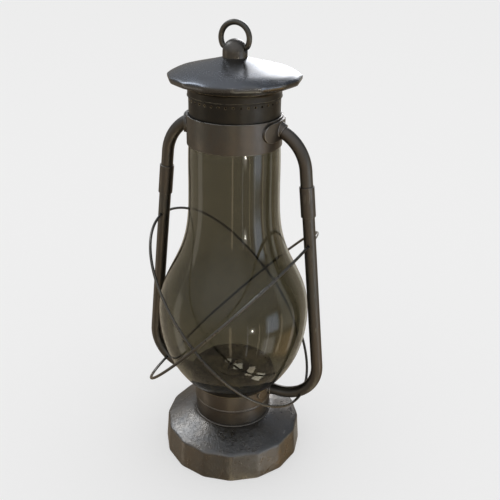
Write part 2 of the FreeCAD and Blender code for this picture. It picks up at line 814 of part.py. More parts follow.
def lower_tube(high_drop, low_drop):
    """Tube from the collar's wall, round the elbow and up to the sleeve, drilled for two guard ends."""
    start = Vec(collar_radius - tube_radius, 0, tube_low_z)
    corner = Vec(elbow_x, 0, tube_low_z)
    bend = hollow_bend([start, corner, sleeve_mid - lean_dir * solder_gap], tube_elbow_radius, ALONG_X)
    tube = bend.cut(disc(collar_radius - sheet + 2 * solder_gap, crown_z, collar_top_z))
    for end in (guard_high_end(high_drop), guard_low_end(low_drop)):
        start = end - ALONG_Y * tube_radius * 2
        tube = tube.cut(rod(guard_wire_radius + guard_hole_gap, start, ALONG_Y, 4 * tube_radius))
    return tube


def upper_bend():
    """Tube from the middle of the sleeve over the shoulder into the band's wall."""
    start = sleeve_mid + lean_dir * solder_gap
    end = entry_point - entry_out * tube_past_wall
    bend = hollow_bend([start, shoulder, end], tube_shoulder_radius, lean_dir)
    inside = disc(band_inner + solder_gap, band_foot_z - band_height, band_top_z + band_height)
    return bend.cut(inside)


def sleeve():
    """Short outer tube over the joint between the two tubes."""
    start = sleeve_mid - lean_dir * (sleeve_length / 2)
    outside = rod(tube_radius + sleeve_wall, start, lean_dir, sleeve_length)
    rims = [edge for edge in outside.Edges if edge.Curve.TypeId == "Part::GeomCircle"]
    outside = outside.makeFillet(sleeve_edge_round, rims)
    bore = rod(tube_radius + solder_gap, start - lean_dir * past, lean_dir, sleeve_length + 2 * past)
    return outside.cut(bore)


def saddle_plate(drum_radius, middle_z, thickness, half_angle, height):
    """Plate with round ends, curved round a drum."""
    inner = drum_radius + solder_gap
    outer = inner + thickness
    half_length = outer * math.sin(math.radians(half_angle))
    round_end = height / 2
    straight = half_length - round_end
    low = middle_z - round_end
    block = Part.makeBox(2 * outer, 2 * straight, height, Vec(0, -straight, low))
    for side in (-1, 1):
        block = block.fuse(rod(round_end, Vec(0, side * straight, middle_z), ALONG_X, 2 * outer))
    plate = disc(outer, low - past, low + height + past).common(block)
    return plate.cut(disc(inner, low - past, low + height + past))


def with_ferrule(plate, drum_radius, root_reach, tip_reach, point, out):
    """Join a tapered ferrule to the plate, round the tube that leaves the drum at a point."""
    root = tube_radius + root_reach
    start = point - out * root
    ferrule = Part.makeCone(root, tube_radius + tip_reach, root + ferrule_length, start, out)
    drum = disc(drum_radius + solder_gap, point.z - 3 * root, point.z + 3 * root)
    body = plate.fuse(ferrule.cut(drum))
    return body.cut(rod(tube_radius + solder_gap, start - out, out, 2 * root + 2 * ferrule_length))


def upper_saddle():
    size = (upper_saddle_thickness, upper_saddle_half_angle, upper_saddle_height)
    plate = saddle_plate(band_radius, entry_z, *size)
    return with_ferrule(plate, band_radius, upper_ferrule_root, upper_ferrule_tip, entry_point, entry_out)


def lower_saddle():
    drum = collar_top_radius
    size = (lower_saddle_thickness, lower_saddle_half_angle, lower_saddle_height)
    plate = saddle_plate(drum, tube_low_z, *size)
    middle = Vec(drum, 0, tube_low_z)
    return with_ferrule(plate, drum, lower_ferrule_root, lower_ferrule_tip, middle, ALONG_X)


# ---- wire guards ----------------------------------------------------------------------------
def guard_high_end(drop):
    """Where a wire passes through the tube's axis, a given drop below the sleeve."""
    return sleeve_mid - lean_dir * (sleeve_length / 2 + drop)


def guard_low_end(drop):
    """The same wire's other end, mirrored through its centre and brought to the right-hand side."""
    high = guard_high_end(drop)
    return Vec(high.x, 0, 2 * guard_centre_z - high.z)


def guard_wire(rise_side, half_depth, drop):
    """Closed oval of wire round the globe that passes through both tubes, high on rise_side."""
    centre = UP * guard_centre_z
    end = guard_high_end(drop)
    high = Vec(rise_side * end.x, 0, end.z)
    front = centre - ALONG_Y * half_depth
    if high.distanceToPoint(centre) > half_depth:
        oval = Part.Ellipse(high, front, centre)
    else:
        oval = Part.Ellipse(front, high, centre)
    path = Part.Wire(oval.toShape())
    ring = Part.Wire(Part.makeCircle(guard_wire_radius, oval.value(0), oval.tangent(0)[0]))
    return path.makePipeShell([ring], True, True)


# ---- all pieces -----------------------------------------------------------------------------
def pieces():
    wire_reach = belly_radius + guard_wire_radius
    parts = {
        "fuel_tank": fuel_tank(),
        "tank_bottom_pan": tank_bottom_pan(),
        "filler_spout": filler_spout(),
        "filler_gasket": filler_gasket(),
        "filler_cap": filler_cap(),
        "burner_collar": burner_collar(),
        "collar_foot_ring": collar_foot_ring(),
        "burner_body": burner_body(),
        "wick_tube": wick_tube(),
        "wick": wick(),
        "wick_shaft": wick_shaft(),
        "feed_wheels": feed_wheels(),
        "shaft_bush": shaft_bush(),
        "wick_knob": wick_knob(),
        "globe_plate": globe_plate(),
        "flame_cone": flame_cone(),
        "globe": globe(),
        "crown_band": crown_band(),
        "chimney": chimney(),
        "chimney_stop_ring": chimney_stop_ring(),
        "cove_ring": cove_ring(),
        "hood": hood(),
        "hood_knob": hood_knob(),
        "knob_rivet": knob_rivet(),
        "hang_ring": hang_ring(),
        "guard_wire_outer": guard_wire(1, wire_reach + outer_guard_gap, outer_guard_drop),
        "guard_wire_inner": guard_wire(-1, wire_reach + inner_guard_gap, inner_guard_drop),
        "lower_tube_right": lower_tube(outer_guard_drop, inner_guard_drop),
        "lower_tube_left": left_of(lower_tube(inner_guard_drop, outer_guard_drop)),
    }
    for name, shape in (
        ("upper_bend", upper_bend()),
        ("sleeve", sleeve()),
        ("upper_saddle", upper_saddle()),
        ("lower_saddle", lower_saddle()),
    ):
        parts[name + "_right"] = shape
        parts[name + "_left"] = left_of(shape)
    return parts


def build():
    os.makedirs("parts", exist_ok=True)
    for name, shape in pieces().items():
        solids = len(shape.Solids)
        print(f"{name:20s} solids {solids} valid {shape.isValid()} volume {shape.Volume / 1000:9.3f} cm3")
        shape.exportStep(os.path.join("parts", name + ".step"))


build()
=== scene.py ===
# %% [markdown]
# # A hurricane lantern
#
# The lamp is sheet metal, bent tube, wire, glass, brass and a cotton wick. Its frame comes from the
# packed design, which gives the pieces their places and sizes, in metres, with +Z up and the side
# tubes on the X axis. This first cell loads the frame.

# %% Load the frame
import json
import math

import bpy
from mathutils import Matrix, Quaternion, Vector, noise


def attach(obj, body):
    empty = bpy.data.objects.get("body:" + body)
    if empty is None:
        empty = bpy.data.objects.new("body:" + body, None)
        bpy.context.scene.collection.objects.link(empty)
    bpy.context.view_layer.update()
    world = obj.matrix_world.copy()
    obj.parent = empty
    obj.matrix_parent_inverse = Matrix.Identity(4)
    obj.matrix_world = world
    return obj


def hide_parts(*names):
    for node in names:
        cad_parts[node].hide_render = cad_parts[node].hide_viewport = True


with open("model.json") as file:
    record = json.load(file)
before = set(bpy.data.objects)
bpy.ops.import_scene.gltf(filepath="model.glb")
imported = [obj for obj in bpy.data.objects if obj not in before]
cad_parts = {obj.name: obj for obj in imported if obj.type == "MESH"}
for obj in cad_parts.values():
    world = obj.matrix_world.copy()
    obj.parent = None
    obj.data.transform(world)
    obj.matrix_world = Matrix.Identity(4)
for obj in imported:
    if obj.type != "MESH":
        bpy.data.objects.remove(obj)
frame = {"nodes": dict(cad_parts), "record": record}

MM = 0.001
UP = Vector((0.0, 0.0, 1.0))


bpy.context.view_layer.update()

# %% [markdown]
# ## The camera
#
# A product shot is planned from where the camera stands. This one stands above and to the right of
# the lamp, looks down on it and leans by a degree. A camera could be turned by hand angles, but
# pointing its -Z axis at a named spot on the lamp is easier to read and to change.

# %% Camera
CAMERA_PLACE = Vector((0.2301, -0.5109, 0.4707))
LOOK_DIRECTION = Vector((-0.3501, 0.8334, -0.4276))
CAMERA_LEAN = math.radians(0.97)
LENS_MM = 50.47
SENSOR_MM = 36.0


def add_camera():
    data = bpy.data.cameras.new("camera")
    data.lens = LENS_MM
    data.sensor_width = SENSOR_MM
    camera = bpy.data.objects.new("camera", data)
    bpy.context.scene.collection.objects.link(camera)
    turn = LOOK_DIRECTION.to_track_quat("-Z", "Y") @ Quaternion((0, 0, 1), CAMERA_LEAN)
    camera.matrix_world = Matrix.Translation(CAMERA_PLACE) @ turn.to_matrix().to_4x4()
    return camera


bpy.context.scene.camera = add_camera()

# %% [markdown]
# ## The floor
#
# A plain pale floor, large enough that its far edge is out of view. It is a sheet of matt paper lit
# a little from below, as on a studio light table, which keeps the shadow under the lamp
# faint. It is left out of mirrored rays: the metal and glass mirror the painted room instead.

# %% Floor
FLOOR_SIZE = 40.0
FLOOR_TONE = (0.45, 0.45, 0.45, 1.0)
FLOOR_GLOW = 0.46


def add_floor():
    bpy.ops.mesh.primitive_plane_add(size=FLOOR_SIZE)
    floor = bpy.context.object
    floor.name = "floor"
    material = bpy.data.materials.new("floor_paper")
    material.use_nodes = True
    shader = material.node_tree.nodes["Principled BSDF"]
    shader.inputs["Base Color"].default_value = FLOOR_TONE
    shader.inputs["Roughness"].default_value = 1.0
    shader.inputs["Specular IOR Level"].default_value = 0.0
    shader.inputs["Emission Color"].default_value = (1.0, 1.0, 1.0, 1.0)
    shader.inputs["Emission Strength"].default_value = FLOOR_GLOW
    floor.data.materials.append(material)
    floor.visible_glossy = False
    return floor


print("floor size, metres:", add_floor().dimensions.x)

# %% [markdown]
# ## The room that the lamp mirrors
#
# Dark metal and glass show little colour of their own: the eye reads them by what they mirror. A
# studio would stand soft boxes and strips of card round the lamp. Here they are painted into
# the surround: each is a direction, a width and a height with soft edges. Plain rays see an even
# pale sky, and only mirrored rays see the room, so the floor stays even and the metal stays dark.

# %% Helpers for painted soft boxes
LEAST_DEPTH = 0.02      # a soft box shows only in front of its own direction


def maths(tree, operation, first, second=None, clamp=False):
    """Math node; each input is a socket or a number."""
    node = tree.nodes.new("ShaderNodeMath")
    node.operation = operation
    node.use_clamp = clamp
    for socket, value in zip(node.inputs, (first, second)):
        if value is None:
            continue
        if isinstance(value, (int, float)):
            socket.default_value = value
        else:
            tree.links.new(value, socket)
    return node.outputs[0]


def band(tree, value, low, high):
    """Smooth step: 0 below low, 1 above high."""
    node = tree.nodes.new("ShaderNodeMapRange")
    node.interpolation_type = "SMOOTHSTEP"
    for label, given in (("From Min", low), ("From Max", high)):
        if isinstance(given, (int, float)):
            node.inputs[label].default_value = given
        else:
            tree.links.new(given, node.inputs[label])
    tree.links.new(value, node.inputs["Value"])
    return node.outputs["Result"]


def along(tree, direction, axis):
    """How far a direction points along an axis."""
    node = tree.nodes.new("ShaderNodeVectorMath")
    node.operation = "DOT_PRODUCT"
    node.inputs[1].default_value = axis
    tree.links.new(direction, node.inputs[0])
    return node.outputs["Value"]


def compass(azimuth, elevation):
    """Unit vector; azimuth 0 is the front, -Y, and 90 is the right, +X."""
    around = math.radians(azimuth)
    up = math.radians(elevation)
    return Vector((math.sin(around) * math.cos(up), -math.cos(around) * math.cos(up), math.sin(up)))


def soft_box_mask(tree, direction, azimuth, elevation, half_width, half_height, edge):
    """1 inside a rectangle of the surround, 0 outside; the sizes are tangents of angles."""
    centre = compass(azimuth, elevation)
    across = UP.cross(centre).normalized()
    upwards = centre.cross(across)
    ahead = along(tree, direction, centre)
    depth = maths(tree, "MAXIMUM", ahead, LEAST_DEPTH)
    sideways = maths(tree, "ABSOLUTE", maths(tree, "DIVIDE", along(tree, direction, across), depth))
    upright = maths(tree, "ABSOLUTE", maths(tree, "DIVIDE", along(tree, direction, upwards), depth))
    out_x = band(tree, sideways, half_width, half_width + edge[0])
    out_y = band(tree, upright, half_height, half_height + edge[1])
    within_x = maths(tree, "SUBTRACT", 1.0, out_x)
    within_y = maths(tree, "SUBTRACT", 1.0, out_y)
    inside = maths(tree, "MULTIPLY", within_x, within_y)
    return maths(tree, "MULTIPLY", inside, maths(tree, "GREATER_THAN", ahead, LEAST_DEPTH))


# %% [markdown]
# The list gives each soft box: where it is, its half sizes, how soft its edges are, its colour and
# its strength. The first is the large one that whitens the right of the hood. The narrow strips
# low in front make the upright streaks in the globe's neck, the smallest is a bare bulb with a glow
# round it, and the four lowest are sheets of light card on the floor in front. A strength below
# zero takes light away, which no real card can: it is painted shade in what the right of the tank and
# of the crown mirror, and it keeps them dark.

# %% The room
ROOM_TONES = [
    (0.0, (0.20, 0.155, 0.11, 1.0)),
    (0.36, (0.33, 0.275, 0.21, 1.0)),
    (0.47, (0.27, 0.24, 0.20, 1.0)),
    (0.56, (0.27, 0.27, 0.27, 1.0)),
    (0.74, (0.40, 0.42, 0.46, 1.0)),
    (1.0, (0.60, 0.63, 0.68, 1.0)),
]
SOFT_BOXES = [
    (193, 18, 0.13, 0.21, (0.04, 0.16), (0.90, 0.93, 1.0), 5.4),
    (256, 45, 0.12, 0.14, (0.12, 0.14), (0.80, 0.88, 1.0), 4.0),
    (83, -8, 0.10, 0.12, (0.14, 0.14), (0.62, 0.76, 0.98), 2.0),
    (112, 0, 0.14, 0.30, (0.14, 0.20), (0.95, 1.0, 0.95), 0.4),
    (79, -33, 0.09, 0.08, (0.12, 0.12), (1.0, 0.96, 0.88), 1.2),
    (51, -10.5, 0.006, 0.006, (0.014, 0.014), (1.0, 0.97, 0.92), 90.0),
    (51, -10.5, 0.010, 0.010, (0.090, 0.090), (1.0, 0.95, 0.85), 3.0),
    (20, -22, 0.020, 0.30, (0.02, 0.10), (1.0, 0.80, 0.52), 1.5),
    (45, -22, 0.006, 0.30, (0.01, 0.10), (0.85, 0.90, 1.0), 1.4),
    (62, -22, 0.010, 0.30, (0.01, 0.10), (1.0, 0.86, 0.62), 1.3),
    (76, -22, 0.008, 0.30, (0.01, 0.10), (0.9, 0.9, 0.9), 1.2),
    (99, -22, 0.020, 0.30, (0.03, 0.10), (1.0, 0.86, 0.66), 0.9),
    (126, -22, 0.030, 0.30, (0.06, 0.10), (0.80, 0.84, 0.84), 0.7),
    (176, -20, 0.06, 0.30, (0.12, 0.15), (0.80, 0.86, 0.84), 0.4),
    (292, -20, 0.07, 0.40, (0.10, 0.15), (0.95, 0.90, 0.80), 0.7),
    (112, -36, 0.16, 0.10, (0.20, 0.12), (1.0, 0.62, 0.26), 0.55),
    (16, -46, 0.05, 0.03, (0.02, 0.02), (1.0, 0.93, 0.70), 3.0),
    (33, -53, 0.08, 0.05, (0.02, 0.02), (1.0, 0.95, 0.72), 3.2),
    (62, -60, 0.06, 0.09, (0.02, 0.02), (1.0, 0.90, 0.66), 2.8),
    (96, -66, 0.09, 0.06, (0.03, 0.03), (1.0, 0.94, 0.74), 2.6),
    (8, 22, 0.50, 0.40, (0.40, 0.40), (1.0, 0.98, 0.94), 0.14),
    # the last two take light away: painted shade in the mirrored room
    (145, 42, 0.45, 0.40, (0.30, 0.30), (1.0, 1.0, 1.0), -0.26),
    (112, -20, 0.40, 0.35, (0.35, 0.35), (1.0, 1.0, 1.0), -0.17),
]


def colour_ramp(tree, value, stops):
    """Ramp with (place, colour) stops."""
    ramp = tree.nodes.new("ShaderNodeValToRGB")
    elements = ramp.color_ramp.elements
    while len(elements) < len(stops):
        elements.new(0.5)
    for element, (place, colour) in zip(elements, stops):
        element.position = place
        element.color = colour
    tree.links.new(value, ramp.inputs["Fac"])
    return ramp.outputs["Color"]


def painted_room(tree):
    """Colour of the mirrored room in each direction."""
    direction = tree.nodes.new("ShaderNodeTexCoord").outputs["Generated"]
    rise = along(tree, direction, UP)
    total = colour_ramp(tree, maths(tree, "MULTIPLY_ADD", rise, 0.5), ROOM_TONES)
    for azimuth, elevation, half_width, half_height, edge, colour, strength in SOFT_BOXES:
        mask = soft_box_mask(tree, direction, azimuth, elevation, half_width, half_height, edge)
        add = tree.nodes.new("ShaderNodeVectorMath")
        add.operation = "MULTIPLY_ADD"
        add.inputs[1].default_value = [channel * strength for channel in colour]
        tree.links.new(mask, add.inputs[0])
        tree.links.new(total, add.inputs[2])
        total = add.outputs["Vector"]
    return total


# %% [markdown]
# The surround holds both: the even sky for plain rays and the room for mirrored ones. Real soft
# boxes and a real backdrop would need hiding from each other; the ray's own kind sorts them here.

# %% World
PLAIN_SKY = 0.85


def background(tree, colour, strength):
    node = tree.nodes.new("ShaderNodeBackground")
    node.inputs["Strength"].default_value = strength
    if isinstance(colour, tuple):
        node.inputs["Color"].default_value = colour
    else:
        tree.links.new(colour, node.inputs["Color"])
    return node.outputs[0]


def add_surround():
    world = bpy.data.worlds.new("surround")
    bpy.context.scene.world = world
    world.use_nodes = True
    tree = world.node_tree
    tree.nodes.clear()
    plain = background(tree, (1.0, 1.0, 1.0, 1.0), PLAIN_SKY)
    room = background(tree, painted_room(tree), 1.0)
    mix = tree.nodes.new("ShaderNodeMixShader")
    tree.links.new(tree.nodes.new("ShaderNodeLightPath").outputs["Is Glossy Ray"], mix.inputs["Fac"])
    tree.links.new(plain, mix.inputs[1])
    tree.links.new(room, mix.inputs[2])
    out = tree.nodes.new("ShaderNodeOutputWorld")
    tree.links.new(mix.outputs[0], out.inputs["Surface"])
    return len(tree.nodes)


print("surround nodes:", add_surround())

# %% [markdown]
# ## One soft lamp overhead
#
# The even sky alone would leave the lantern floating. One wide lamp overhead adds the soft shadow
# under it that seats it on the floor.

# %% Overhead soft box
OVERHEAD_HEIGHT = 3.0
OVERHEAD_SIZE = 2.6
OVERHEAD_POWER = 5.0


def add_overhead_box():
    data = bpy.data.lights.new("overhead_box", "AREA")
    data.shape = "DISK"
    data.size = OVERHEAD_SIZE
    data.energy = OVERHEAD_POWER
    light = bpy.data.objects.new("overhead_box", data)
    bpy.context.scene.collection.objects.link(light)
    light.location = (0.3, -0.2, OVERHEAD_HEIGHT)
    light.visible_glossy = False
    return light


print("overhead box at", tuple(add_overhead_box().location))
bpy.context.scene.view_settings.view_transform = "Standard"

# %% [markdown]
# ## Shared effects
#
# Wear, scratches and tarnish show on every metal piece, each time a little differently. Painting
# them by hand would need an image for each piece; node groups work on any shape instead. Each group
# below puts out masks, values and colours, and the shader itself stays in each material.

# %% Node group helpers


def new_group(name, inputs, outputs):
    """Shader node group with (name, kind, default) inputs and (name, kind) outputs."""
    group = bpy.data.node_groups.new(name, "ShaderNodeTree")
    for label, kind, default in inputs:
        socket = group.interface.new_socket(name=label, in_out="INPUT", socket_type=kind)
        if default is not None:
            socket.default_value = default
    for label, kind in outputs:
        group.interface.new_socket(name=label, in_out="OUTPUT", socket_type=kind)
    start = group.nodes.new("NodeGroupInput")
    end = group.nodes.new("NodeGroupOutput")
    return group, start, end


def cloud(tree, place, scale, detail=4.0, rough=0.55):
    """Noise texture's value at a place."""
    node = tree.nodes.new("ShaderNodeTexNoise")
    node.inputs["Detail"].default_value = detail
    node.inputs["Roughness"].default_value = rough
    if isinstance(scale, (int, float)):
        node.inputs["Scale"].default_value = scale
    else:
        tree.links.new(scale, node.inputs["Scale"])
    tree.links.new(place, node.inputs["Vector"])
    return node.outputs["Fac"]


def stretched(tree, place, scale, turn):
    """Coordinates scaled along three axes after a turn, in degrees."""
    node = tree.nodes.new("ShaderNodeMapping")
    node.inputs["Rotation"].default_value = [math.radians(a) for a in turn]
    node.inputs["Scale"].default_value = scale
    tree.links.new(place, node.inputs["Vector"])
    return node.outputs["Vector"]


# %% [markdown]
# **Edge wear.** Handling rubs the finish off edges first. The bevel node gives the normal that a
# rounded edge would have; where it differs from the true one, there is an edge. A noise breaks the
# line up, so it isn't an even outline.

# %% Edge wear group


def edge_wear_group():
    group, start, end = new_group(
        "edge_wear",
        [("Radius", "NodeSocketFloat", 0.0006), ("Breakup Scale", "NodeSocketFloat", 160.0),
         ("Amount", "NodeSocketFloat", 1.0)],
        [("Mask", "NodeSocketFloat"), ("Normal", "NodeSocketVector")],
    )
    rounded = group.nodes.new("ShaderNodeBevel")
    rounded.samples = 6
    group.links.new(start.outputs["Radius"], rounded.inputs["Radius"])
    geometry = group.nodes.new("ShaderNodeNewGeometry")
    dot = group.nodes.new("ShaderNodeVectorMath")
    dot.operation = "DOT_PRODUCT"
    group.links.new(rounded.outputs["Normal"], dot.inputs[0])
    group.links.new(geometry.outputs["Normal"], dot.inputs[1])
    bend = maths(group, "SUBTRACT", 1.0, dot.outputs["Value"])
    edge = band(group, bend, 0.010, 0.12)
    coords = group.nodes.new("ShaderNodeTexCoord")
    broken = cloud(group, coords.outputs["Object"], start.outputs["Breakup Scale"], 5.0, 0.65)
    worn = band(group, broken, 0.36, 0.56)
    both = maths(group, "MULTIPLY", edge, worn)
    group.links.new(maths(group, "MULTIPLY", both, start.outputs["Amount"], True), end.inputs["Mask"])
    group.links.new(rounded.outputs["Normal"], end.inputs["Normal"])
    return group


EDGE_WEAR = edge_wear_group()

# %% [markdown]
# **Scratches.** A scratch is a long thin line that starts and stops. Cells stretched thirty times
# along one axis have such lines as their borders; a cloud mask keeps only pieces of them. Three
# layers at different angles look like years of handling.

# %% Scratch group


def scratch_layer(group, coords, density, scale, turn, width):
    """Short thin lines along one direction."""
    lines = group.nodes.new("ShaderNodeTexVoronoi")
    lines.feature = "DISTANCE_TO_EDGE"
    lines.inputs["Scale"].default_value = scale
    group.links.new(stretched(group, coords, (1.0, 1.0, 0.035), turn), lines.inputs["Vector"])
    thin = maths(group, "SUBTRACT", 1.0, band(group, lines.outputs["Distance"], 0.0, width))
    patch = cloud(group, stretched(group, coords, (1.0, 1.0, 0.4), turn), scale * 0.35, 3.0, 0.6)
    limit = maths(group, "SUBTRACT", 0.74, maths(group, "MULTIPLY", density, 0.3))
    kept = band(group, patch, limit, maths(group, "ADD", limit, 0.05))
    return maths(group, "MULTIPLY", thin, kept)


def scratch_group():
    group, start, end = new_group(
        "scratches",
        [("Density", "NodeSocketFloat", 0.4)],
        [("Mask", "NodeSocketFloat")],
    )
    place = group.nodes.new("ShaderNodeTexCoord").outputs["Object"]
    density = start.outputs["Density"]
    one = scratch_layer(group, place, density, 170.0, (25.0, 60.0, 10.0), 0.030)
    two = scratch_layer(group, place, density, 120.0, (70.0, -35.0, 40.0), 0.022)
    three = scratch_layer(group, place, density, 240.0, (-50.0, 20.0, 75.0), 0.034)
    total = maths(group, "MAXIMUM", maths(group, "MAXIMUM", one, two), three)
    group.links.new(total, end.inputs["Mask"])
    return group


SCRATCHES = scratch_group()

# %% [markdown]
# **Tarnish.** Bronzed sheet is never one colour: heat, oil and fingers leave clouds that are warmer
# or greyer, and duller or shinier. One large and one small cloud, mixed, give both.

# %% Tarnish group


def tarnish_group():
    group, start, end = new_group(
        "tarnish",
        [("Scale", "NodeSocketFloat", 14.0), ("Warm", "NodeSocketColor", (0.1, 0.085, 0.07, 1.0)),
         ("Cool", "NodeSocketColor", (0.08, 0.085, 0.09, 1.0)), ("Dull", "NodeSocketFloat", 0.45),
         ("Bright", "NodeSocketFloat", 0.28)],
        [("Color", "NodeSocketColor"), ("Roughness", "NodeSocketFloat"), ("Fine", "NodeSocketFloat")],
    )
    place = group.nodes.new("ShaderNodeTexCoord").outputs["Object"]
    large = cloud(group, place, start.outputs["Scale"], 3.0, 0.5)
    small = cloud(group, place, maths(group, "MULTIPLY", start.outputs["Scale"], 9.0), 6.0, 0.65)
    grain = cloud(group, place, 900.0, 3.0, 0.6)
    broad = maths(group, "MULTIPLY", large, 0.7)
    mixed = maths(group, "ADD", broad, maths(group, "MULTIPLY", small, 0.3))
    tone = band(group, mixed, 0.36, 0.64)
    colour = group.nodes.new("ShaderNodeMix")
    colour.data_type = "RGBA"
    group.links.new(tone, colour.inputs["Factor"])
    group.links.new(start.outputs["Warm"], colour.inputs[6])
    group.links.new(start.outputs["Cool"], colour.inputs[7])
    group.links.new(colour.outputs[2], end.inputs["Color"])
    gloss = group.nodes.new("ShaderNodeMix")
    group.links.new(band(group, small, 0.35, 0.7), gloss.inputs["Factor"])
    group.links.new(start.outputs["Bright"], gloss.inputs[2])
    group.links.new(start.outputs["Dull"], gloss.inputs[3])
    group.links.new(gloss.outputs[0], end.inputs["Roughness"])
    group.links.new(grain, end.inputs["Fine"])
    return group


TARNISH = tarnish_group()

# %% [markdown]
# ## Metals
#
# All the dark metal is bronzed steel sheet, tube and wire, so one function makes it: tarnish gives
# the colour and gloss, edge wear shows bare steel, scratches cut to it, and a fine bump keeps the
# surface from looking like plastic. Each finish only has its own values.

# %% Bronzed metal


def add_group(tree, group, **values):
    node = tree.nodes.new("ShaderNodeGroup")
    node.node_tree = group
    for label, value in values.items():
        node.inputs[label.replace("_", " ")].default_value = value
    return node


def mix_colour(tree, factor, first, second):
    node = tree.nodes.new("ShaderNodeMix")
    node.data_type = "RGBA"
    tree.links.new(factor, node.inputs["Factor"])
    for socket, value in ((node.inputs[6], first), (node.inputs[7], second)):
        if isinstance(value, tuple):
            socket.default_value = value
        else:
            tree.links.new(value, socket)
    return node.outputs[2]


def mix_value(tree, factor, first, second):
    node = tree.nodes.new("ShaderNodeMix")
    tree.links.new(factor, node.inputs["Factor"])
    for socket, value in ((node.inputs[2], first), (node.inputs[3], second)):
        if isinstance(value, (int, float)):
            socket.default_value = value
        else:
            tree.links.new(value, socket)
    return node.outputs[0]


def new_material(name):
    material = bpy.data.materials.new(name)
    material.use_nodes = True
    tree = material.node_tree
    return material, tree, tree.nodes["Principled BSDF"]


def bump(tree, height, strength, distance, normal=None):
    node = tree.nodes.new("ShaderNodeBump")
    node.inputs["Strength"].default_value = strength
    node.inputs["Distance"].default_value = distance
    tree.links.new(height, node.inputs["Height"])
    if normal is not None:
        tree.links.new(normal, node.inputs["Normal"])
    return node.outputs["Normal"]


BARE_STEEL = (0.66, 0.63, 0.58, 1.0)
WORN_GOLD = (0.70, 0.58, 0.38, 1.0)
BARE_ROUGHNESS = 0.3
SCRATCH_SHINE = 0.6
SCRATCH_DEPTH = 0.6
GRAIN_HEIGHT = 0.00012
PIT_SCALE = 300.0
PIT_DEPTH = 0.0003


def bronzed_metal(name, tones, gloss, wear, scratch, scale=14.0, bare_tone=BARE_STEEL, grain=0.15,
                  pitted=0.0):
    """Tones are warm and cool, gloss is dull and bright, wear is amount and edge radius."""
    material, tree, shader = new_material(name)
    tarnish = add_group(
        tree, TARNISH, Scale=scale, Warm=tones[0], Cool=tones[1], Dull=gloss[0], Bright=gloss[1]
    )
    edges = add_group(tree, EDGE_WEAR, Radius=wear[1], Amount=wear[0])
    scratched = add_group(tree, SCRATCHES, Density=scratch).outputs["Mask"]
    shiny = maths(tree, "MULTIPLY", scratched, SCRATCH_SHINE)
    bare = maths(tree, "MAXIMUM", edges.outputs["Mask"], shiny)
    colour = mix_colour(tree, bare, tarnish.outputs["Color"], bare_tone)
    tree.links.new(colour, shader.inputs["Base Color"])
    gloss_now = mix_value(tree, bare, tarnish.outputs["Roughness"], BARE_ROUGHNESS)
    tree.links.new(gloss_now, shader.inputs["Roughness"])
    shader.inputs["Metallic"].default_value = 1.0
    cut = maths(tree, "MULTIPLY", scratched, SCRATCH_DEPTH)
    height = maths(tree, "SUBTRACT", tarnish.outputs["Fine"], cut)
    normal = bump(tree, height, grain, GRAIN_HEIGHT, edges.outputs["Normal"])
    if pitted > 0:
        place = tree.nodes.new("ShaderNodeTexCoord").outputs["Object"]
        pits = band(tree, cloud(tree, place, PIT_SCALE, 3.0, 0.7), 0.42, 0.66)
        normal = bump(tree, pits, pitted, PIT_DEPTH, normal)
    tree.links.new(normal, shader.inputs["Normal"])
    return material


TANK_METAL = bronzed_metal(
    "tank_metal", ((0.215, 0.190, 0.160, 1.0), (0.175, 0.173, 0.168, 1.0)), (0.38, 0.27),
    (1.0, 0.0009), 0.15, grain=0.2, pitted=0.35
)
FRAME_METAL = bronzed_metal(
    "frame_metal", ((0.160, 0.140, 0.120, 1.0), (0.135, 0.130, 0.118, 1.0)), (0.46, 0.34),
    (1.0, 0.0007), 0.2
)
# On the brim's crease the bare metal from the edge wear is partly a painted highlight.
HOOD_METAL = bronzed_metal(
    "hood_metal", ((0.170, 0.165, 0.155, 1.0), (0.160, 0.165, 0.175, 1.0)), (0.29, 0.24),
    (0.9, 0.0007), 0.2, grain=0.08
)
# The chimney and cove ring sit under the hood: their dark tones are soot and also painted shade from
# the hood above them.
SOOT_AND_SHADE_METAL = bronzed_metal(
    "soot_and_shade_metal", ((0.070, 0.062, 0.050, 1.0), (0.050, 0.047, 0.042, 1.0)), (0.46, 0.36),
    (1.0, 0.0006), 0.2, bare_tone=WORN_GOLD
)
# The flame cone and globe plate are dark with pale clouds: partly tarnish, and partly painted
# reflections of the light the plate catches.
PLATE_TARNISH_AND_REFLECTION = bronzed_metal(
    "plate_tarnish_and_reflection", ((0.045, 0.040, 0.033, 1.0), (0.34, 0.30, 0.21, 1.0)), (0.5, 0.3),
    (0.5, 0.0005), 0.3, scale=55.0
)
WIRE_METAL = bronzed_metal(
    "wire_metal", ((0.165, 0.150, 0.125, 1.0), (0.125, 0.120, 0.110, 1.0)), (0.36, 0.26),
    (0.3, 0.0004), 0.2, scale=30.0
)
STEEL = bronzed_metal(
    "plain_steel", ((0.42, 0.41, 0.40, 1.0), (0.34, 0.34, 0.35, 1.0)), (0.4, 0.28),
    (0.5, 0.0003), 0.2, scale=40.0
)
BRASS = bronzed_metal(
    "burner_brass", ((0.36, 0.25, 0.11, 1.0), (0.20, 0.15, 0.09, 1.0)), (0.5, 0.3),
    (0.5, 0.0004), 0.2, scale=40.0
)
METALS = (TANK_METAL, FRAME_METAL, HOOD_METAL, SOOT_AND_SHADE_METAL, PLATE_TARNISH_AND_REFLECTION, WIRE_METAL, STEEL, BRASS)
print("metal finishes:", [metal.name for metal in METALS])

# %% [markdown]
# ## Glass
#
# The globe is old smoked glass, so dark that the room behind it hardly shows. Colour could be put
# in as depth inside the wall, but a tinted surface shows the same and survives being exported.

# %% Smoked glass


